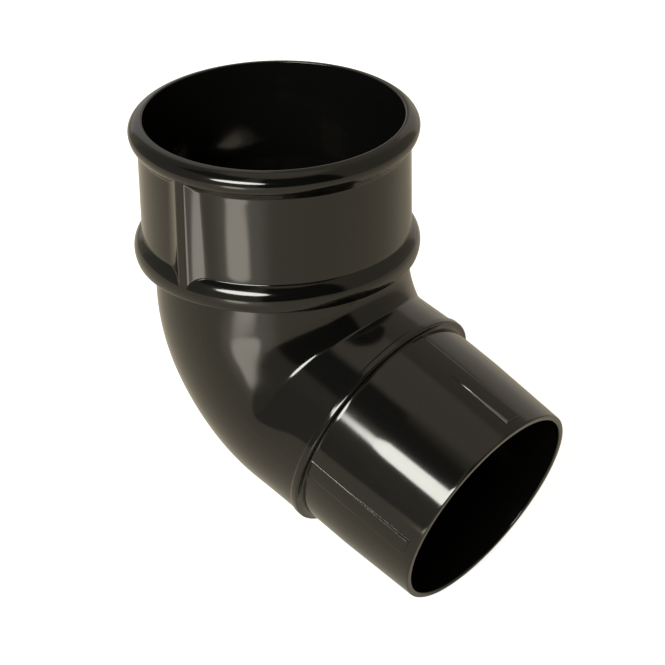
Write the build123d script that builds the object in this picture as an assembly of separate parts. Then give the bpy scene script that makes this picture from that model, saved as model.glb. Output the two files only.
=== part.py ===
"""Offset bend for a 68 mm round downpipe, moulded in one piece.

The origin is the centre of the ledge that stops the pipe, on the socket's axis. +Z runs out
of the socket's mouth. The bend turns in the XZ plane, and the spigot leads towards +X and down.
"""

from build123d import *
import math
import os

# The pipe, and the socket that takes it down to a ledge at height zero (mm)
PIPE_DIAMETER = 68.0
SOCKET_CLEARANCE = 0.25  # radial gap round the pipe
SOCKET_DEPTH = 38.0
SEAT_LENGTH = 30.0  # parallel part of the bore, up from the ledge
MOUTH_FLARE = 0.35  # how much wider the bore's radius is at the mouth
LEAD_IN = 0.3  # chamfer round the mouth
WALL = 1.6
OUTSIDE_DRAFT = 0.35  # how much wider the socket's wall is at the mouth than at the ledge

# The rounded bead round the mouth, measured down from the mouth
RIM_RADIUS = 38.5
RIM_CROWN = 2.9  # radius of the rounded top
RIM_BAND = 0.8  # upright part below the crown
RIM_SLOPE = 4.2  # height of the slope back to the wall

# The bead round the foot of the socket, measured up from its underside
FOOT_RADIUS = 38.1
FOOT_BAND = 4.2  # upright part
FOOT_SLOPE = 3.5
LEDGE_THICKNESS = 1.8  # from the ledge down to the bead's underside
BEAD_EDGE = 0.8  # bevel along the bead's two edges

# The two ridges down the socket's sides
RIDGE_RADIUS = 38.0  # from the socket's axis to the crest
RIDGE_CREST = 2.9  # width of the flat crest
RIDGE_HALF_ANGLE = 13.0  # from the crest to where a flank leaves the wall
RIDGE_EDGE = 0.4

# The bend, whose back and throat are two lines in its plane, each with one turn
BEND_ANGLE = 67.5  # turned from straight on, for a 112.5 degree bend
BACK_REACH = 32.1  # from the socket's axis
BACK_RADIUS = 61.0
THROAT_REACH = 35.5  # from the socket's axis
THROAT_DROP = 11.4  # from the ledge down to the turn
THROAT_RADIUS = 4.0
SHOULDER_REACH = 35.1  # from the socket's axis to the shoulder's centre
SHOULDER_DROP = 42.2  # from the ledge down to the shoulder's centre
SHOULDER_RADIUS = 32.7
BEND_SECTIONS = 14  # straight from each section to the next, to keep the facets few

# The collar round the shoulder, and the spigot
COLLAR_RADIUS = 33.05
COLLAR_WIDTH = 2.0
COLLAR_EDGE = 0.6  # bevel
SPIGOT_RADIUS = 30.95
SPIGOT_LENGTH = 37.4
LAND_LENGTH = 14.0  # parallel part of the spigot, next to the shoulder
SPIGOT_TAPER = 0.7  # how much smaller the radius is at the tip
SPIGOT_EDGE = 0.3  # bevel round the tip

# The pads that centre the spigot in the next pipe, without the spigot's taper
PAD_COUNT = 4
PAD_HEIGHT = 0.15  # above the parallel part of the spigot
PAD_WIDTH = 4.8
PAD_LENGTH = 34.4

# Worked out from the sizes above
BORE_RADIUS = PIPE_DIAMETER / 2 + SOCKET_CLEARANCE
WALL_RADIUS = BORE_RADIUS + WALL
TIP_RADIUS = SPIGOT_RADIUS - SPIGOT_TAPER
BEND_TOP = FOOT_BAND - LEDGE_THICKNESS  # the bend starts inside the foot's bead
TURN = math.radians(BEND_ANGLE)
ONWARD = Vector(math.sin(TURN), 0, -math.cos(TURN))
TO_BACK = Vector(-math.cos(TURN), 0, -math.sin(TURN))
SHOULDER = Plane((SHOULDER_REACH, 0, -SHOULDER_DROP), x_dir=TO_BACK, z_dir=ONWARD)
CUT_MARGIN = 5.0  # how far a cut runs past the face that it opens


def outside_radius(height):
    """Outside radius of the socket's plain wall, at a height above the ledge."""
    return WALL_RADIUS + OUTSIDE_DRAFT * height / SOCKET_DEPTH


def profile(outline, rounds=(), bevels=()):
    """Face inside an outline, whose listed corners, as (point, size), are rounded or bevelled."""
    face = make_face(Polyline(*outline, close=True))
    for soften, corners in ((fillet, rounds), (chamfer, bevels)):
        for point, size in corners:
            corner = face.vertices().sort_by_distance((*point, 0))[0]
            face = soften(corner, size)
    return face


def turned(face):
    """Solid from a face of (radius, height) points, turned about the Z axis."""
    return revolve(Plane.XZ * face, Axis.Z)


def socket_body():
    """The socket with its two beads, still without its bore."""
    foot_bottom = -LEDGE_THICKNESS
    foot_band_top = foot_bottom + FOOT_BAND
    foot_top = foot_band_top + FOOT_SLOPE
    band_bottom = SOCKET_DEPTH - RIM_CROWN - RIM_BAND
    slope_bottom = band_bottom - RIM_SLOPE
    rim = (RIM_RADIUS, SOCKET_DEPTH)
    rim_low = (RIM_RADIUS, band_bottom)
    wall_top = (outside_radius(slope_bottom), slope_bottom)
    wall_low = (outside_radius(foot_top), foot_top)
    foot_high = (FOOT_RADIUS, foot_band_top)
    foot_low = (FOOT_RADIUS, foot_bottom)
    outline = [(0, SOCKET_DEPTH), rim, rim_low, wall_top, wall_low, foot_high, foot_low, (0, foot_bottom)]
    bevels = [(foot_high, BEAD_EDGE), (foot_low, BEAD_EDGE)]
    return turned(profile(outline, rounds=[(rim, RIM_CROWN)], bevels=bevels))


def ridge():
    """Ridge down the +Y side of the socket, with hollow flanks that rise to a flat crest."""
    angle = math.radians(RIDGE_HALF_ANGLE)
    start = Vector(WALL_RADIUS * math.sin(angle), WALL_RADIUS * math.cos(angle))
    crest = Vector(RIDGE_CREST / 2, RIDGE_RADIUS)
    flank = TangentArc(start, crest, tangent=(-math.cos(angle), math.sin(angle)))
    top = Line(crest, (-crest.X, crest.Y))
    inside = WALL_RADIUS - WALL
    root = Polyline((-start.X, start.Y), (-start.X, inside / 2), (start.X, inside / 2), start)
    face = make_face([flank, top, mirror(flank, about=Plane.YZ), root])
    for side in (1, -1):
        corner = face.vertices().sort_by_distance((side * crest.X, crest.Y, 0))[0]
        face = fillet(corner, RIDGE_EDGE)
    height = SOCKET_DEPTH - RIM_CROWN - BEND_TOP
    return Pos(0, 0, BEND_TOP) * extrude(face, height)


def bend_lines():
    """The bend's outlines in the XZ plane, along its back and along its throat."""
    back_end = SHOULDER.origin + TO_BACK * SHOULDER_RADIUS
    throat_end = SHOULDER.origin - TO_BACK * SHOULDER_RADIUS
    back_corner = back_end - ONWARD * ((back_end.X + BACK_REACH) / ONWARD.X)
    back_start = (-BACK_REACH, 0, BEND_TOP)
    throat_start = (THROAT_REACH, 0, BEND_TOP)
    throat_corner = (THROAT_REACH, 0, -THROAT_DROP)
    back = FilletPolyline(back_start, back_corner, back_end, radius=BACK_RADIUS)
    throat = FilletPolyline(throat_start, throat_corner, throat_end, radius=THROAT_RADIUS)
    return back, throat


def narrowing(fraction):
    """How far the passage has drawn in towards the spigot's bore, at a fraction of the bend."""
    start = 0.7
    step = SHOULDER_RADIUS - SPIGOT_RADIUS
    return step * max(0.0, (fraction - start) / (1 - start)) ** 2


def bend(inset):
    """Loft of circles that span from the throat to the back, each set in by the wall or by zero."""
    back, throat = bend_lines()
    sections = []
    for index in range(BEND_SECTIONS + 1):
        fraction = index / BEND_SECTIONS
        outer, inner = back @ fraction, throat @ fraction
        across = (outer - inner).normalized()
        plane = Plane((outer + inner) / 2, x_dir=across, z_dir=(-across.Z, 0, across.X))
        radius = (outer - inner).length / 2 - inset
        if inset:
            radius -= narrowing(fraction)
        sections.append(plane * Circle(radius))
    return loft(sections, ruled=True)


def collar():
    """The collar that the next pipe stops against."""
    outline = [(0, -COLLAR_WIDTH), (COLLAR_RADIUS, -COLLAR_WIDTH), (COLLAR_RADIUS, 0), (0, 0)]
    bevels = [(outline[1], COLLAR_EDGE), (outline[2], COLLAR_EDGE)]
    return SHOULDER * turned(profile(outline, bevels=bevels))


def spigot_body():
    """The spigot, parallel and then tapered, still without its bore."""
    tip = (TIP_RADIUS, SPIGOT_LENGTH)
    outline = [(0, 0), (SPIGOT_RADIUS, 0), (SPIGOT_RADIUS, LAND_LENGTH), tip, (0, SPIGOT_LENGTH)]
    return SHOULDER * turned(profile(outline, bevels=[(tip, SPIGOT_EDGE)]))


def pads():
    """Raised pads along the spigot, which stop short of its tip."""
    outside = Cylinder(SPIGOT_RADIUS + PAD_HEIGHT, PAD_LENGTH, align=(Align.CENTER, Align.CENTER, Align.MIN))
    inside = Cylinder(TIP_RADIUS - WALL / 2, PAD_LENGTH, align=(Align.CENTER, Align.CENTER, Align.MIN))
    slab = Box(2 * SPIGOT_RADIUS, PAD_WIDTH, PAD_LENGTH, align=(Align.MIN, Align.CENTER, Align.MIN))
    pad = (outside - inside) & slab
    return [SHOULDER * Rot(0, 0, index * 360 / PAD_COUNT) * pad for index in range(PAD_COUNT)]


def socket_bore():
    """What the bore takes out of the socket, down to the ledge that stops the pipe."""
    mouth_radius = BORE_RADIUS + MOUTH_FLARE
    outline = [
        (0, SOCKET_DEPTH + CUT_MARGIN),
        (mouth_radius + LEAD_IN + CUT_MARGIN, SOCKET_DEPTH + CUT_MARGIN),
        (mouth_radius, SOCKET_DEPTH - LEAD_IN),
        (BORE_RADIUS, SEAT_LENGTH),
        (BORE_RADIUS, 0),
        (0, 0),
    ]
    return turned(profile(outline))


def spigot_bore():
    """What the passage takes out of the spigot."""
    slope = SPIGOT_TAPER / (SPIGOT_LENGTH - LAND_LENGTH)
    end = SPIGOT_LENGTH + CUT_MARGIN
    bore = SPIGOT_RADIUS - WALL
    outline = [(0, 0), (bore, 0), (bore, LAND_LENGTH), (bore - slope * (end - LAND_LENGTH), end), (0, end)]
    return SHOULDER * turned(profile(outline))


def offset_bend():
    """The whole fitting, as one solid."""
    side = ridge()
    fitting = socket_body() + side + mirror(side, about=Plane.XZ)
    fitting = fitting + bend(0) + collar() + spigot_body()
    for pad in pads():
        fitting = fitting + pad
    return fitting - socket_bore() - bend(WALL) - spigot_bore()


def main():
    os.makedirs("parts", exist_ok=True)
    export_step(offset_bend().solid(), "parts/offset_bend.step")


main()
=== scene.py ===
"""Looks of the downpipe offset bend: one glossy black moulding under an oval soft box, on white card.

The fitting is drawn as one closed mesh of rings, from the mouth down the outside to the spigot's
tip and back up through the passage. Its sizes are the CAD part's own. Its beads are rounder,
and its throat has a valley where the CAD part has a plain loft.
Lengths are in millimetres until a mesh is made, which is in metres.
"""

import logging
import math
from dataclasses import dataclass, field
from enum import Enum
from typing import Any, Sequence

import bpy
import numpy as np
from mathutils import Matrix, Vector


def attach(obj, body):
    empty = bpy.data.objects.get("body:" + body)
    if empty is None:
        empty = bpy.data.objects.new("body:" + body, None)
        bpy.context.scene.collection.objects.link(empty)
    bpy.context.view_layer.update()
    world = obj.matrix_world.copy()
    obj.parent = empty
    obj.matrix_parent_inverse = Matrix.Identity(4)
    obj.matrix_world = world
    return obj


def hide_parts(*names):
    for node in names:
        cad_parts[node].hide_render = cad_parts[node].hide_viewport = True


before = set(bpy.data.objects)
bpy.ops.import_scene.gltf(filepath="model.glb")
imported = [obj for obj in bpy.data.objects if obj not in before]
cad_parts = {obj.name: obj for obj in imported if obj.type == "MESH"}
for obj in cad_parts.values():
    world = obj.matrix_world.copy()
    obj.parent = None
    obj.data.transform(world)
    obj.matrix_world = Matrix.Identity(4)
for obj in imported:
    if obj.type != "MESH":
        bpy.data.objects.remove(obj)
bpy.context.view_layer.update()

LOG = logging.getLogger("offset_bend")
MM = 0.001

# share of each linear channel in a colour's luminance
LUMINANCE = (0.2126, 0.7152, 0.0722)

# sockets of a Mix node that is set to colours, whose names repeat
MIX_FACTOR, MIX_FIRST, MIX_SECOND, MIX_RESULT = 0, 6, 7, 2

# points along a rounded corner, fine enough that the rings between them lie on the arc
CORNER_SAMPLES = 400

Point = tuple[float, float]


def linear(colour: str) -> tuple[float, float, float, float]:
    """Turns an sRGB hex colour, such as #1a2b3c, into linear RGBA."""
    channels = [int(colour[i:i + 2], 16) / 255 for i in (1, 3, 5)]
    return (*((c / 12.92 if c <= 0.04045 else ((c + 0.055) / 1.055) ** 2.4) for c in channels), 1.0)


def add_node(
        tree: bpy.types.NodeTree, kind: str, inputs: dict | None = None, **settings: Any) -> bpy.types.Node:
    """Adds a node with its settings, and fills or links its inputs.

    Args:
        tree: the node tree that takes the node.
        kind: Blender's name of the node's type.
        inputs: a value or an output socket for each input, by its name or index.
        settings: the node's own properties.

    Returns:
        The new node.
    """
    node = tree.nodes.new(kind)
    for name, value in settings.items():
        setattr(node, name, value)
    for key, value in (inputs or {}).items():
        if isinstance(value, bpy.types.NodeSocket):
            tree.links.new(value, node.inputs[key])
        else:
            node.inputs[key].default_value = value
    return node


class Op(Enum):
    """Math node operations in use."""

    ADD = "ADD"
    SUBTRACT = "SUBTRACT"
    MULTIPLY = "MULTIPLY"
    ABSOLUTE = "ABSOLUTE"
    TURN = "ARCTAN2"
    RISE = "ARCSINE"


def math_node(tree: bpy.types.NodeTree, op: Op, *values: Any) -> bpy.types.NodeSocket:
    """Adds a math node on the given values or sockets and returns its output."""
    return add_node(tree, "ShaderNodeMath", dict(enumerate(values)), operation=op.value).outputs[0]


def arc(centre: Point, radius: float, start: float, end: float, steps: int) -> list[Point]:
    """Points along an arc whose normal turns from one angle to another.

    Args:
        centre: radius and height of the arc's centre.
        radius: the arc's own radius, negative for a hollow arc.
        start: angle of the surface's normal above level at the first point, in degrees.
        end: the same at the last point.
        steps: how many pieces the arc is cut into.

    Returns:
        The points as (radius, height).
    """
    angles = [math.radians(start + (end - start) * i / steps) for i in range(steps + 1)]
    return [(centre[0] + radius * math.cos(a), centre[1] + radius * math.sin(a)) for a in angles]


def between(first: Point, last: Point, steps: int) -> list[Point]:
    """Points strictly between two points, spaced evenly."""
    return [tuple(a + (b - a) * i / steps for a, b in zip(first, last)) for i in range(1, steps)]


def soft_max(first: np.ndarray, second: np.ndarray, blend: float) -> np.ndarray:
    """The larger of two radii, run into each other over a small width."""
    share = np.clip(0.5 + 0.5 * (first - second) / blend, 0, 1)
    return second * (1 - share) + first * share + blend * share * (1 - share)


def smooth_step(share: np.ndarray) -> np.ndarray:
    """Eases from zero to one as the share does."""
    share = np.clip(share, 0, 1)
    return share * share * (3 - 2 * share)


def tube_exit(start: np.ndarray, ray: np.ndarray, axis: np.ndarray, radius: Any) -> np.ndarray:
    """Distance along rays to where they leave a round tube.

    Args:
        start: the rays' starts, from a point on the tube's axis.
        ray: the rays' unit vectors.
        axis: the tube's unit vector.
        radius: the tube's radius, the same for all or one for each ray.

    Returns:
        The distances, which are zero for rays that miss the tube.
    """
    start = start - (start @ axis)[..., None] * axis
    ray = ray - (ray @ axis)[..., None] * axis
    square, cross = (ray * ray).sum(-1), (start * ray).sum(-1)
    rest = cross ** 2 - square * ((start * start).sum(-1) - radius ** 2)
    return np.where(rest > 0, (np.sqrt(np.maximum(rest, 0)) - cross) / np.maximum(square, 1e-9), 0)


@dataclass(frozen=True)
class SocketForm:
    """The socket: its bore, its rim bead, its wall with two ridges, and its foot bead.

    Radii are from the socket's axis and heights from the ledge. Turns and slopes are in degrees.
    Steps are how many pieces each part of an outline is cut into.
    """

    depth: float = 38.0
    bore: float = 34.25
    seat: float = 30.0
    flare: float = 0.35
    lead_in: float = 0.3
    wall: float = 35.85
    draft: float = 0.35
    rim: float = 38.5
    rim_height: float = 34.6
    rim_top_round: float = 4.1
    rim_side_round: float = 2.5
    rim_under_round: float = 4.0
    rim_turn: float = 27.0
    rim_slope: float = 38.0
    rim_hollow: float = 0.8
    foot: float = 38.1
    foot_height: float = 1.5
    foot_top_round: float = 5.2
    foot_top_turn: float = 55.0
    foot_under_round: float = 7.0
    foot_edge: float = 1.0
    ledge: float = 1.8
    ridge: float = 38.0
    ridge_crest: float = 2.9
    ridge_half_angle: float = 13.0
    ridge_blend: float = 0.35
    bead_blend: float = 0.12
    mouth_turn: float = 86.0
    rim_steps: tuple[int, int, int] = (12, 5, 7)
    rim_slope_steps: int = 9
    rim_hollow_steps: int = 4
    wall_steps: int = 14
    foot_steps: tuple[int, int, int] = (12, 5, 6)
    foot_corner: Point = (0.02, 0.25)
    ledge_edge: float = 0.1
    lip: Point = (0.04, 0.16)

    def wall_at(self, height: float) -> float:
        """Outside radius of the plain wall at a height."""
        return self.wall + self.draft * height / self.depth

    def rim_outline(self) -> list[Point]:
        """Outline of the rim bead from the mouth's lip down to the wall."""
        side = (self.rim - self.rim_side_round, self.rim_height)
        turn = math.radians(self.rim_turn)
        across, up = math.cos(turn), math.sin(turn)
        joint = (side[0] + self.rim_side_round * across, side[1] + self.rim_side_round * up)
        top = (joint[0] - self.rim_top_round * across, joint[1] - self.rim_top_round * up)
        under = (self.rim - self.rim_under_round, self.rim_height)
        top_steps, side_steps, under_steps = self.rim_steps
        points = arc(top, self.rim_top_round, self.mouth_turn, self.rim_turn, top_steps)
        points += arc(side, self.rim_side_round, self.rim_turn, 0, side_steps)[1:]
        points += arc(under, self.rim_under_round, 0, -self.rim_slope, under_steps)[1:]
        slope = math.radians(self.rim_slope)
        leave = points[-1]
        wall = self.wall_at(leave[1] - (leave[0] - self.wall) / math.tan(slope))
        corner = (wall, leave[1] - (leave[0] - wall) / math.tan(slope))
        reach = self.rim_hollow * math.tan(slope / 2)
        start = (corner[0] + reach * math.sin(slope), corner[1] + reach * math.cos(slope))
        hollow = (corner[0] + self.rim_hollow, corner[1] - reach)
        points += between(leave, start, self.rim_slope_steps)
        points += arc(hollow, -self.rim_hollow, -self.rim_slope, 0, self.rim_hollow_steps)
        return points

    def foot_outline(self) -> list[Point]:
        """Outline of the foot bead from the wall down to its flat underside."""
        top = (self.foot - self.foot_top_round, self.foot_height)
        under = (self.foot - self.foot_under_round, self.foot_height)
        drop = (self.foot_height + self.ledge - self.foot_edge) / (self.foot_under_round - self.foot_edge)
        meet = math.degrees(math.asin(drop))
        top_steps, under_steps, edge_steps = self.foot_steps
        points = arc(top, self.foot_top_round, self.foot_top_turn, 0, top_steps)
        points += arc(under, self.foot_under_round, 0, -meet, under_steps)[1:]
        reach = self.foot_under_round - self.foot_edge
        edge = (under[0] + reach * math.cos(math.radians(meet)), self.foot_edge - self.ledge)
        points += arc(edge, self.foot_edge, -meet, -90, edge_steps)[1:]
        return points

    def ridge_radius(self, theta: np.ndarray) -> np.ndarray:
        """Radius of the two side ridges for each column, hollow up to a flat crest."""
        half = math.radians(self.ridge_half_angle)
        away = np.abs(np.mod(theta, math.pi) - math.pi / 2)
        start = np.array([self.wall * math.sin(half), self.wall * math.cos(half)])
        out = np.array([math.sin(half), math.cos(half)])
        step = np.array([self.ridge_crest / 2, self.ridge]) - start
        hollow = float(step @ step) / (2 * float(step @ out))
        centre = start + hollow * out
        ray = np.sin(away) * centre[0] + np.cos(away) * centre[1]
        flank = ray - np.sqrt(np.maximum(ray ** 2 - float(centre @ centre) + hollow ** 2, 0))
        flank = np.where(away < half, flank, self.wall)
        crest = self.ridge / np.cos(np.minimum(away, half))
        return -soft_max(-flank, -crest, self.ridge_blend)

    def outside(self, theta: np.ndarray) -> np.ndarray:
        """Rings down the socket's outside, from the mouth's lip to the underside of its foot.

        Args:
            theta: the columns' angles from the back, in radians.

        Returns:
            Points as (ring, column, xyz).
        """
        rim, foot = self.rim_outline(), self.foot_outline()
        corner = (self.wall_at(foot[0][1]) + self.foot_corner[0], foot[0][1] + self.foot_corner[1])
        outline = rim + between(rim[-1], corner, self.wall_steps) + [corner] + foot
        ridge = self.ridge_radius(theta)
        rings = []
        for radius, height in outline:
            row = np.full(theta.shape, radius)
            if self.foot_height < height < self.rim_height:
                row = soft_max(row, ridge, self.bead_blend)
            rings.append(self.ring(row, height, theta))
        return np.array(rings)

    def bore_rings(self, theta: np.ndarray) -> np.ndarray:
        """Rings up the bore, from the ledge that stops the pipe to the mouth's lip."""
        mouth = self.bore + self.flare
        outline = [(self.bore - self.ledge_edge, 0.0), (self.bore, self.ledge_edge)]
        outline += [(self.bore, self.seat / 2), (self.bore, self.seat), (mouth, self.depth - self.lead_in)]
        outline += [(mouth + self.lip[0], self.depth - self.lip[1])]
        return np.array([self.ring(np.full(theta.shape, r), z, theta) for r, z in outline])

    @staticmethod
    def ring(radius: np.ndarray, height: float, theta: np.ndarray) -> np.ndarray:
        """One level ring round the socket's axis."""
        level = np.full(theta.shape, height)
        return np.stack([-radius * np.cos(theta), radius * np.sin(theta), level], axis=-1)


@dataclass(frozen=True)
class SpigotForm:
    """The spigot in its own frame: height along its axis from the shoulder, radius from it.

    The stations are the heights of its rings. A pad's side slopes over the angle pad_side, in radians.
    """

    turn: float = 67.5
    shoulder: Point = (35.1, -42.2)
    collar: float = 33.05
    collar_width: float = 2.0
    collar_edge: float = 0.3
    collar_top_edge: float = 0.5
    radius: float = 30.95
    length: float = 37.4
    land: float = 14.0
    taper: float = 0.7
    wall: float = 1.6
    edge: float = 0.3
    pad: float = 31.1
    pad_width: float = 4.8
    pad_length: float = 34.4
    pad_side: float = 0.0075
    pad_end_round: float = 0.12
    pad_end_start: float = 34.3
    root_rise: float = 0.2
    root_rise_above: float = 0.06
    root_height: float = 0.2
    pad_root_rise: float = 0.15
    collar_steps: tuple[int, int, int] = (4, 3, 5)
    collar_under_turn: float = -88.0
    tip_steps: int = 4
    tip_turn: float = 15.0
    tip_insets: tuple[Point, ...] = ((0.8, 0.0), (0.2, 0.0), (0.05, 0.06))
    stations: tuple[float, ...] = (0, 0.12, 0.3, 1, 4, 8, 12, 14, 16, 20, 24, 28, 31, 33, 34, 34.2, 34.32)
    stations_past_pad: tuple[float, ...] = (34.46, 34.6, 34.9, 35.6, 36.4)

    @property
    def onward(self) -> np.ndarray:
        """Unit vector along the spigot's axis, out of its tip."""
        return np.array([math.sin(math.radians(self.turn)), 0, -math.cos(math.radians(self.turn))])

    @property
    def to_back(self) -> np.ndarray:
        """Unit vector across the spigot's axis, towards the back of the bend."""
        return np.array([-math.cos(math.radians(self.turn)), 0, -math.sin(math.radians(self.turn))])

    @property
    def origin(self) -> np.ndarray:
        """Centre of the shoulder."""
        return np.array([self.shoulder[0], 0, self.shoulder[1]])

    def ring(self, radius: np.ndarray, height: float, theta: np.ndarray) -> np.ndarray:
        """One ring square to the spigot's axis."""
        across = np.outer(radius * np.cos(theta), self.to_back)
        sideways = np.outer(radius * np.sin(theta), [0, 1, 0])
        return self.origin + self.onward * height + (across + sideways)

    def radius_at(self, height: float) -> float:
        """Outside radius between the pads at a height."""
        return self.radius - self.taper * max(0.0, height - self.land) / (self.length - self.land)

    def outside(self, theta: np.ndarray) -> np.ndarray:
        """Rings from the collar's lower edge along the spigot and round its tip."""
        low, top = self.collar_edge, self.collar_top_edge
        low_steps, side_steps, top_steps = self.collar_steps
        rings = arc((self.collar - low, low - self.collar_width), low, self.collar_under_turn, 0, low_steps)
        rings += between(rings[-1], (self.collar, -top), side_steps)
        rings += arc((self.collar - top, -top), top, 0, 90, top_steps)
        rows = [self.ring(np.full(theta.shape, r), h, theta) for r, h in rings]
        away = np.abs(np.mod(theta + math.pi / 4, math.pi / 2) - math.pi / 4)
        side = math.asin(self.pad_width / 2 / self.radius)
        on_pad = np.clip((side - away) / self.pad_side + 0.5, 0, 1)
        past_pad = (self.pad_length, *self.stations_past_pad, self.length - self.edge)
        for height in self.stations + past_pad:
            # a small fillet at the shoulder, and a rounded end on each pad
            near_root = self.root_rise_above if height < self.root_height else 0
            base = self.radius_at(height) + (self.root_rise if height == 0 else near_root)
            high = self.pad + (self.pad_root_rise if height == 0 else 0)
            high -= self.pad_end_round if self.pad_end_start < height < self.pad_length else 0
            raised = on_pad * (height < self.pad_length)
            rows.append(self.ring(base + (high - base) * raised, height, theta))
        tip = self.radius_at(self.length)
        centre = (tip - self.edge, self.length - self.edge)
        rounded = arc(centre, self.edge, self.tip_turn, 90, self.tip_steps)
        inner = tip - self.wall
        rounded += [(inner + out, self.length - back) for out, back in self.tip_insets]
        rows += [self.ring(np.full(theta.shape, r), h, theta) for r, h in rounded]
        return np.array(rows)

    def passage(self, theta: np.ndarray) -> np.ndarray:
        """Rings up the inside, from the tip to the shoulder."""
        heights = (self.length - self.edge, 30.0, 22.0, self.land, self.land / 2, self.edge)
        inside = [(self.radius_at(height) - self.wall, height) for height in heights]
        return np.array([self.ring(np.full(theta.shape, r), h, theta) for r, h in inside])


@dataclass(frozen=True)
class BendForm:
    """The bend, between its back and its throat, which turn differently.

    The throat's half is an upright tube and a leaning one that meet in a valley. The leaning tube
    narrows by neck_slope for each millimetre behind the shoulder. The valley is a hollow that runs
    out of the upright tube and ends in a crease against the leaning one.
    """

    spigot: SpigotForm
    top: float = 2.4
    back_reach: float = 32.1
    back_radius: float = 61.0
    throat_reach: float = 35.5
    throat_drop: float = 11.4
    throat_radius: float = 4.0
    shoulder_radius: float = 32.7
    wall: float = 1.6
    narrowing_start: float = 0.7
    neck_slope: float = 0.06
    neck_length: float = 30.0
    valley_blend: float = 8.0
    valley_crease: float = 1.35
    crease_round: float = 0.3
    seam: float = 0.05
    seam_half_angle: float = 0.7
    side_blend: float = 25.0
    rings_outside: int = 100
    rings_inside: int = 26
    samples: int = 1500

    @staticmethod
    def rounded_line(points: Sequence[np.ndarray], radius: float, count: int) -> np.ndarray:
        """A line of two legs with a rounded corner, as points spaced evenly along it.

        Args:
            points: the line's start, corner and end, as (x, z).
            radius: the corner's radius.
            count: how many points to return.

        Returns:
            The points as (count, 2).
        """
        start, corner, end = (np.array(p, dtype=float) for p in points)
        first = (start - corner) / np.linalg.norm(start - corner)
        last = (end - corner) / np.linalg.norm(end - corner)
        half = math.acos(float(first @ last)) / 2
        reach = radius / math.tan(half)
        middle = (first + last) / np.linalg.norm(first + last)
        centre = corner + middle * radius / math.sin(half)
        sweep = np.linspace(-1, 1, CORNER_SAMPLES)[:, None] * (math.pi / 2 - half)
        side = (last - first) / np.linalg.norm(last - first)
        bow = centre - middle * radius * np.cos(sweep) + side * radius * np.sin(sweep)
        line = np.concatenate([[start], [corner + first * reach], bow, [corner + last * reach], [end]])
        along = np.concatenate([[0], np.cumsum(np.linalg.norm(np.diff(line, axis=0), axis=1))])
        wanted = np.linspace(0, along[-1], count)
        return np.stack([np.interp(wanted, along, line[:, i]) for i in (0, 1)], axis=-1)

    def lines(self) -> tuple[np.ndarray, np.ndarray]:
        """The back's and the throat's lines in the bend's plane."""
        onward, to_back = self.spigot.onward[[0, 2]], self.spigot.to_back[[0, 2]]
        middle = np.array(self.spigot.shoulder)
        back_end = middle + to_back * self.shoulder_radius
        throat_end = middle - to_back * self.shoulder_radius
        back_corner = back_end - onward * (back_end[0] + self.back_reach) / onward[0]
        back_points = [(-self.back_reach, self.top), back_corner, back_end]
        throat_points = [(self.throat_reach, self.top), (self.throat_reach, -self.throat_drop), throat_end]
        back = self.rounded_line(back_points, self.back_radius, self.samples)
        return back, self.rounded_line(throat_points, self.throat_radius, self.samples)

    def surface(self, theta: np.ndarray, inset: float) -> np.ndarray:
        """The bend's skin as circles from its top to the shoulder.

        Args:
            theta: the columns' angles from the back, in radians.
            inset: zero for the outside, or the wall's thickness for the passage.

        Returns:
            Points as (circle, column, xyz).
        """
        back, throat = self.lines()
        fraction = np.linspace(0, 1, self.samples)
        span = np.linalg.norm(back - throat, axis=1)
        across = (back - throat) / span[:, None]
        drawn_in = np.maximum(0, (fraction - self.narrowing_start) / (1 - self.narrowing_start)) ** 2
        radius = span / 2 - inset - (drawn_in * (self.shoulder_radius - self.spigot.radius) if inset else 0)
        middle = ((back + throat) / 2)[:, None, :]
        centre = np.stack([middle[..., 0], np.zeros(middle.shape[:2]), middle[..., 1]], axis=-1)
        cos, sin = np.cos(theta), np.sin(theta)
        sideways = np.outer(np.ones(self.samples), sin)
        ray = np.stack([np.outer(across[:, 0], cos), sideways, np.outer(across[:, 1], cos)], axis=-1)
        radius = np.broadcast_to(radius[:, None], ray.shape[:2])
        if not inset:
            # the mould's parting leaves a fine witness line down both sides
            from_side = np.abs(np.mod(np.degrees(theta), 180) - 90)
            witness = self.seam * np.clip(1 - from_side / self.seam_half_angle, 0, 1)
            radius = self.with_valley(centre, ray, radius, cos) + witness
        return centre + radius[..., None] * ray

    def with_valley(
            self, centre: np.ndarray, ray: np.ndarray, radius: np.ndarray, cos: np.ndarray) -> np.ndarray:
        """Radii of the outside, where the throat's half is two tubes that meet in a valley.

        Args:
            centre: the circles' centres.
            ray: unit vectors from the centres to the skin.
            radius: the plain circles' radii.
            cos: cosine of each column's angle from the back.

        Returns:
            The radii as (circle, column).
        """
        reach = (self.throat_reach - self.back_reach) / 2
        upright = tube_exit(centre - [reach, 0, 0], ray, np.array([0, 0, 1.0]), self.throat_reach - reach)
        back_from = -(centre + radius[..., None] * ray - self.spigot.origin) @ self.spigot.onward
        tube = self.shoulder_radius - self.neck_slope * np.clip(back_from, 0, self.neck_length)
        leaning = tube_exit(centre - self.spigot.origin, ray, self.spigot.onward, tube)
        blend, proud = self.valley_blend, leaning - upright
        # valley_crease keeps the hollow below the leaning tube's tangent, so that the two cross
        hollow = np.clip(proud + blend, 0, 2 * blend) ** 2 / (4 * blend * self.valley_crease)
        both = upright + soft_max(hollow, proud, self.crease_round)
        towards_throat = smooth_step(np.degrees(np.arcsin(-cos)) / self.side_blend)
        return radius + towards_throat * (both - radius)

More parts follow.
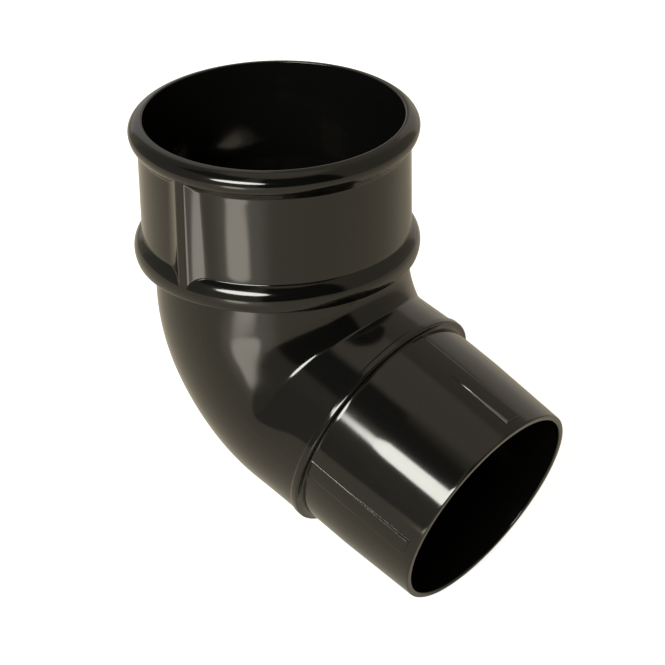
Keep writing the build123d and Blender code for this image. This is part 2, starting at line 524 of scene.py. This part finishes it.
    def rings(self, theta: np.ndarray, inset: float, level: float, stop: float, count: int) -> np.ndarray:
        """Rings from a level plane under the socket to a plane square to the spigot.

        Args:
            theta: the columns' angles.
            inset: zero for the outside, or the wall's thickness for the passage.
            level: height of the first ring.
            stop: height of the last ring along the spigot's axis.
            count: how many rings to return.

        Returns:
            Points as (ring, column, xyz).
        """
        skin = self.surface(theta, inset)
        fraction = np.linspace(0, 1, self.samples)
        along = (skin - self.spigot.origin) @ self.spigot.onward
        share = np.linspace(0, 1, count)
        rings = np.empty((count, len(theta), 3))
        for column in range(len(theta)):
            first = np.interp(-level, -skin[:, column, 2], fraction)
            last = np.interp(stop, along[:, column], fraction)
            wanted = first + (last - first) * share
            for axis in range(3):
                rings[:, column, axis] = np.interp(wanted, fraction, skin[:, column, axis])
        return rings


@dataclass(frozen=True)
class MouldedPvc:
    """Rigid PVC coloured right through with carbon black and moulded against a polished tool."""

    name: str = "PVC-U, carbon black, injection moulded against a polished tool"
    body: str = "#0b0b0a"
    ior: float = 1.53
    gloss: float = 0.075
    gloss_spread: float = 0.05
    ripple_mm: float = 9.0
    ripple_depth_mm: float = 0.012
    ripple_detail: float = 1.5
    grain_mm: float = 0.5
    grain_depth_mm: float = 0.0012
    grain_detail: float = 2.0
    patch_mm: float = 14.0
    patch_detail: float = 3.0

    def build(self) -> bpy.types.Material:
        """Makes the material: sharp reflections that waver a little, as sink and flow leave them."""
        material = bpy.data.materials.new(self.name)
        material.use_nodes = True
        tree = material.node_tree
        tree.nodes.clear()
        place = add_node(tree, "ShaderNodeTexCoord").outputs["Object"]
        # slow waves from uneven shrinkage, which bend the edges of a reflection
        ripple = add_node(tree, "ShaderNodeTexNoise", {
            "Vector": place, "Scale": 1 / (self.ripple_mm * MM), "Detail": self.ripple_detail})
        # the tool's fine polishing marks, drawn coarser than real so that they hold at this size
        grain = add_node(tree, "ShaderNodeTexNoise", {
            "Vector": place, "Scale": 1 / (self.grain_mm * MM), "Detail": self.grain_detail})
        waves = add_node(tree, "ShaderNodeBump", {
            "Strength": 1.0, "Distance": self.ripple_depth_mm * MM, "Height": ripple.outputs[0]})
        fine = add_node(tree, "ShaderNodeBump", {
            "Strength": 1.0, "Distance": self.grain_depth_mm * MM, "Height": grain.outputs[0],
            "Normal": waves.outputs["Normal"]})
        # handling dulls the skin in soft patches
        patches = add_node(tree, "ShaderNodeTexNoise", {
            "Vector": place, "Scale": 1 / (self.patch_mm * MM), "Detail": self.patch_detail})
        dulled = math_node(tree, Op.MULTIPLY, patches.outputs[0], self.gloss_spread)
        gloss = math_node(tree, Op.ADD, dulled, self.gloss)
        skin = add_node(tree, "ShaderNodeBsdfPrincipled", {
            "Base Color": linear(self.body), "Roughness": gloss, "IOR": self.ior,
            "Normal": fine.outputs["Normal"]})
        add_node(tree, "ShaderNodeOutputMaterial", {"Surface": skin.outputs["BSDF"]})
        return material


@dataclass(frozen=True)
class SheenPaper:
    """Coated white card that the fitting stands on, with a slight sheen.

    To the camera the card is matt and lifted towards white, so that it meets the white room and
    keeps the fitting's shadow. To reflections it is cream, with the soft box's glare painted on it
    as a glowing oval patch.
    """

    name: str = "white card, coated with a sheen, with a painted glare"
    body: str = "#f4ecdc"
    gloss: float = 0.3
    ior: float = 1.3
    matt: float = 0.8
    # painted glare: the strength, tint, place and size of the glowing patch that stands in for the soft
    # box's glare
    painted_glare: float = 3.4
    painted_glare_tint: str = "#fff6e6"
    painted_glare_place: Point = (38.0, -236.0)
    painted_glare_half_mm: Point = (37.0, 60.0)
    painted_glare_edge: float = 0.2
    mottle_mm: float = 6.0
    mottle_detail: float = 3.0
    mottle_spread: float = 0.03
    lift: float = 0.8

    def build(self) -> bpy.types.Material:
        """Makes the material: white to the camera apart from the fitting's soft shadow."""
        material = bpy.data.materials.new(self.name)
        material.use_nodes = True
        tree = material.node_tree
        tree.nodes.clear()
        seen = add_node(tree, "ShaderNodeLightPath").outputs["Is Camera Ray"]
        place = add_node(tree, "ShaderNodeTexCoord").outputs["Object"]
        # the coating's faint mottle makes its sheen uneven
        mottle = add_node(tree, "ShaderNodeTexNoise", {
            "Vector": place, "Scale": 1 / (self.mottle_mm * MM), "Detail": self.mottle_detail})
        uneven = math_node(tree, Op.MULTIPLY, mottle.outputs[0], self.mottle_spread)
        gloss = math_node(tree, Op.ADD, uneven, self.gloss)
        coated = add_node(tree, "ShaderNodeBsdfPrincipled", {
            "Base Color": linear(self.body), "Roughness": gloss, "IOR": self.ior})
        # painted glare: a glowing oval patch on the card stands in for the soft box's glare, which the wall
        # mirrors as a band
        patch = add_node(tree, "ShaderNodeMapping", {
            "Vector": place, "Location": (*(middle * MM for middle in self.painted_glare_place), 0.0),
            "Scale": (*(half * MM for half in self.painted_glare_half_mm), 1.0)}, vector_type="TEXTURE")
        flat = add_node(tree, "ShaderNodeVectorMath", {0: patch.outputs[0], 1: (1.0, 1.0, 0.0)},
                        operation="MULTIPLY")
        away = add_node(tree, "ShaderNodeVectorMath", {0: flat.outputs[0]}, operation="LENGTH")
        # mask of the painted glare: one inside the oval, fading to zero over its edge
        inside = add_node(tree, "ShaderNodeMapRange", {
            "Value": away.outputs["Value"],
            "From Min": 1.0 - self.painted_glare_edge, "From Max": 1.0 + self.painted_glare_edge,
            "To Min": self.painted_glare, "To Max": 0.0}, interpolation_type="SMOOTHSTEP")
        painted_glare = add_node(tree, "ShaderNodeEmission", {
            "Color": linear(self.painted_glare_tint), "Strength": inside.outputs[0]})
        card = add_node(tree, "ShaderNodeAddShader", {0: coated.outputs["BSDF"], 1: painted_glare.outputs[0]})
        matt = add_node(tree, "ShaderNodeBsdfDiffuse", {"Color": (self.matt, self.matt, self.matt, 1)})
        lift = add_node(tree, "ShaderNodeEmission", {"Color": (1, 1, 1, 1), "Strength": self.lift})
        white = add_node(tree, "ShaderNodeAddShader", {0: matt.outputs[0], 1: lift.outputs[0]})
        mix = add_node(tree, "ShaderNodeMixShader", {0: seen, 1: card.outputs[0], 2: white.outputs[0]})
        add_node(tree, "ShaderNodeOutputMaterial", {"Surface": mix.outputs[0]})
        return material


def make_object(
        name: str, points: np.ndarray, faces: Sequence, material: bpy.types.Material) -> bpy.types.Object:
    """Makes a smooth mesh object.

    Args:
        name: the object's name.
        points: vertices in millimetres, as (count, 3).
        faces: vertex numbers of each face.
        material: the finish of every face.

    Returns:
        The object, linked to the scene.
    """
    mesh = bpy.data.meshes.new(name)
    mesh.from_pydata((points * MM).tolist(), [], faces)
    mesh.polygons.foreach_set("use_smooth", [True] * len(mesh.polygons))
    mesh.materials.append(material)
    mesh.update()
    thing = bpy.data.objects.new(name, mesh)
    bpy.context.scene.collection.objects.link(thing)
    return thing


@dataclass
class Moulding:
    """The fitting's single moulding, which stands for the CAD part's only node."""

    socket: SocketForm = field(default_factory=SocketForm)
    spigot: SpigotForm = field(default_factory=SpigotForm)
    finish: MouldedPvc = field(default_factory=MouldedPvc)
    column_step: float = 1.5
    fine_offsets: tuple[float, ...] = (
        0, 0.7, 1.2, 1.6, 1.85, 2.05, 2.25, 2.5, 2.9, 3.4, 3.9, 4.2, 4.36, 4.5, 4.66, 4.9, 5.4, 6.1, 7.0,
        8.0, 9.1, 10.2, 11.2, 12.0, 12.6, 13.2, 14.0)

    def columns(self) -> np.ndarray:
        """Angles of the columns, close together at the ridges and the pads."""
        quarter = list(self.fine_offsets)
        last = self.fine_offsets[-1]
        count = round((90 - 2 * last) / self.column_step)
        quarter += [last + (90 - 2 * last) * i / count for i in range(1, count)]
        quarter += [90 - offset for offset in reversed(self.fine_offsets[1:])]
        return np.radians([turn * 90 + angle for turn in range(4) for angle in quarter])

    def build(self) -> bpy.types.Object:
        """Builds the closed mesh of rings and dresses it."""
        theta = self.columns()
        bend = BendForm(self.spigot)
        skin = bend.rings(theta, 0, -self.socket.ledge, -self.spigot.collar_width, bend.rings_outside)
        passage = bend.rings(theta, bend.wall, 0, 0, bend.rings_inside)[::-1]
        parts = [self.socket.outside(theta), skin, self.spigot.outside(theta), self.spigot.passage(theta)]
        parts += [passage[1:], self.socket.bore_rings(theta)]
        rings = np.concatenate(parts)
        rows, columns = rings.shape[:2]
        LOG.info("moulding: %d rings of %d columns", rows, columns)
        faces = []
        for row in range(rows):
            low, high = row * columns, (row + 1) % rows * columns
            for column in range(columns):
                beside = (column + 1) % columns
                faces.append((low + column, low + beside, high + beside, high + column))
        return make_object("moulding", rings.reshape(-1, 3), faces, self.finish.build())


@dataclass(frozen=True)
class Zone:
    """Part of the room round the fitting, with its brightness and tint.

    Azimuths run from +X towards +Y and heights from the horizon, in degrees.
    """

    azimuth: float
    half_width: float
    height: float
    half_height: float
    level: float
    tint: str = "#ffffff"
    edge: float = 6.0


@dataclass(frozen=True)
class Room:
    """The room as the gloss mirrors it: dim and warm, black behind the camera, with one pale wall.

    Each zone is painted over the ones before it.
    """

    level: float = 0.33
    tint: str = "#fff2d6"
    zones: tuple[Zone, ...] = (
        Zone(azimuth=-145, half_width=38, height=30, half_height=60, level=0.25, tint="#fff6e4"),
        Zone(azimuth=0, half_width=200, height=90, half_height=22, level=0.6, tint="#fff0da", edge=10),
        Zone(azimuth=-30, half_width=33, height=0, half_height=62, level=0.0),
        Zone(azimuth=-112, half_width=32, height=53, half_height=14, level=0.05),
        Zone(azimuth=95, half_width=20, height=50, half_height=20, level=0.38, tint="#fff0da"),
        Zone(azimuth=103, half_width=14, height=14, half_height=20, level=0.65, tint="#fff4e2"),
        Zone(azimuth=148, half_width=17, height=30, half_height=30, level=0.7, tint="#fffcf6"),
    )

    def build(self) -> None:
        """Makes the world: white to the camera, the room to everything else."""
        world = bpy.data.worlds.new("room")
        bpy.context.scene.world = world
        world.use_nodes = True
        tree = world.node_tree
        tree.nodes.clear()
        toward = add_node(tree, "ShaderNodeTexCoord").outputs["Generated"]
        split = add_node(tree, "ShaderNodeSeparateXYZ", {0: toward})
        x, y, z = split.outputs
        azimuth = math_node(tree, Op.TURN, y, x)
        height = math_node(tree, Op.RISE, z)
        colour: Any = self.shade(self.level, self.tint)
        for zone in self.zones:
            mix = add_node(tree, "ShaderNodeMix", {
                MIX_FACTOR: self.mask(tree, zone, azimuth, height), MIX_FIRST: colour,
                MIX_SECOND: self.shade(zone.level, zone.tint)}, data_type="RGBA")
            colour = mix.outputs[MIX_RESULT]
        room = add_node(tree, "ShaderNodeBackground", {"Color": colour, "Strength": 1.0})
        white = add_node(tree, "ShaderNodeBackground", {"Color": (1, 1, 1, 1), "Strength": 1.0})
        seen = add_node(tree, "ShaderNodeLightPath").outputs["Is Camera Ray"]
        mix = add_node(tree, "ShaderNodeMixShader", {0: seen, 1: room.outputs[0], 2: white.outputs[0]})
        add_node(tree, "ShaderNodeOutputWorld", {"Surface": mix.outputs[0]})

    @staticmethod
    def shade(level: float, tint: str) -> tuple[float, float, float, float]:
        """Linear colour of a tint at a luminance."""
        red, green, blue, _ = linear(tint)
        luminance = LUMINANCE[0] * red + LUMINANCE[1] * green + LUMINANCE[2] * blue
        return (red * level / luminance, green * level / luminance, blue * level / luminance, 1.0)

    @staticmethod
    def mask(tree: bpy.types.NodeTree, zone: Zone, azimuth: Any, height: Any) -> bpy.types.NodeSocket:
        """One inside a zone, falling to zero over its edge."""
        edge = math.radians(zone.edge)
        fades = []
        sides = ((azimuth, zone.azimuth, zone.half_width), (height, zone.height, zone.half_height))
        for value, middle, half in sides:
            away = math_node(tree, Op.ABSOLUTE, math_node(tree, Op.SUBTRACT, value, math.radians(middle)))
            reach = math.radians(half)
            fade = add_node(tree, "ShaderNodeMapRange", {
                "Value": away, "From Min": reach - edge / 2, "From Max": reach + edge / 2,
                "To Min": 1.0, "To Max": 0.0}, interpolation_type="SMOOTHSTEP")
            fades.append(fade.outputs[0])
        return math_node(tree, Op.MULTIPLY, *fades)


@dataclass(frozen=True)
class SoftBox:
    """An oval soft box to the left of the camera, with its size and distance in metres."""

    azimuth: float = -79.2
    height: float = 27.0
    distance: float = 3.0
    width: float = 2.12
    tall: float = 1.0
    radiance: float = 18.0
    tint: str = "#fffff6"

    def build(self) -> bpy.types.Object:
        """Makes the light, which faces the fitting."""
        light = bpy.data.lights.new("soft_box", "AREA")
        light.shape = "ELLIPSE"
        light.size, light.size_y = self.width, self.tall
        light.energy = self.radiance * math.pi * self.width * self.tall * math.pi / 4
        light.color = linear(self.tint)[:3]
        lamp = bpy.data.objects.new("soft_box", light)
        bpy.context.scene.collection.objects.link(lamp)
        azimuth, height = math.radians(self.azimuth), math.radians(self.height)
        level = math.cos(height)
        toward = Vector((math.cos(azimuth) * level, math.sin(azimuth) * level, math.sin(height)))
        lamp.location = toward * self.distance
        lamp.rotation_euler = toward.to_track_quat("Z", "Y").to_euler()
        return lamp


@dataclass(frozen=True)
class Table:
    """The sheet of card under the fitting, which ends near in front of it, short of the camera."""

    level: float = -84.35
    near: float = 300.0
    far: float = 900.0
    finish: SheenPaper = field(default_factory=SheenPaper)

    def build(self) -> bpy.types.Object:
        """Makes the sheet as a level rectangle."""
        near, far, level = -self.near, self.far, self.level
        points = np.array([(-far, near, level), (far, near, level), (far, far, level), (-far, far, level)])
        sheet = make_object("card", points, [(0, 1, 2, 3)], self.finish.build())
        return sheet


@dataclass(frozen=True)
class PhotoCamera:
    """The photograph's camera, as solved from the fitting's outlines."""

    place: tuple[float, float, float] = (607.706, -704.124, 455.002)
    right: tuple[float, float, float] = (0.7734, 0.6336, -0.0202)
    up: tuple[float, float, float] = (-0.2777, 0.3673, 0.8876)
    lens: float = 210.27
    sensor: float = 36.0
    clip: Point = (0.05, 20.0)

    def build(self) -> bpy.types.Object:
        """Makes the camera and gives it to the scene."""
        data = bpy.data.cameras.new("photo_camera")
        data.sensor_width, data.lens = self.sensor, self.lens
        data.clip_start, data.clip_end = self.clip
        camera = bpy.data.objects.new("photo_camera", data)
        bpy.context.scene.collection.objects.link(camera)
        right = Vector(self.right).normalized()
        back = right.cross(Vector(self.up)).normalized()
        up = back.cross(right)
        turned = Matrix((right, up, back)).transposed().to_4x4()
        camera.matrix_world = Matrix.Translation(Vector(self.place) * MM) @ turned
        bpy.context.scene.camera = camera
        return camera


def main() -> None:
    """Builds the fitting, its studio and the camera, in order."""
    logging.basicConfig(level=logging.INFO, format="%(name)s: %(message)s")
    moulding = Moulding().build()
    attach(moulding, "root")
    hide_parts("offset_bend")
    LOG.info("moulding dressed")
    Table().build()
    Room().build()
    SoftBox().build()
    PhotoCamera().build()
    bpy.context.scene.view_settings.view_transform = "Standard"
    LOG.info("studio and camera placed")


if __name__ == "__main__":
    main()
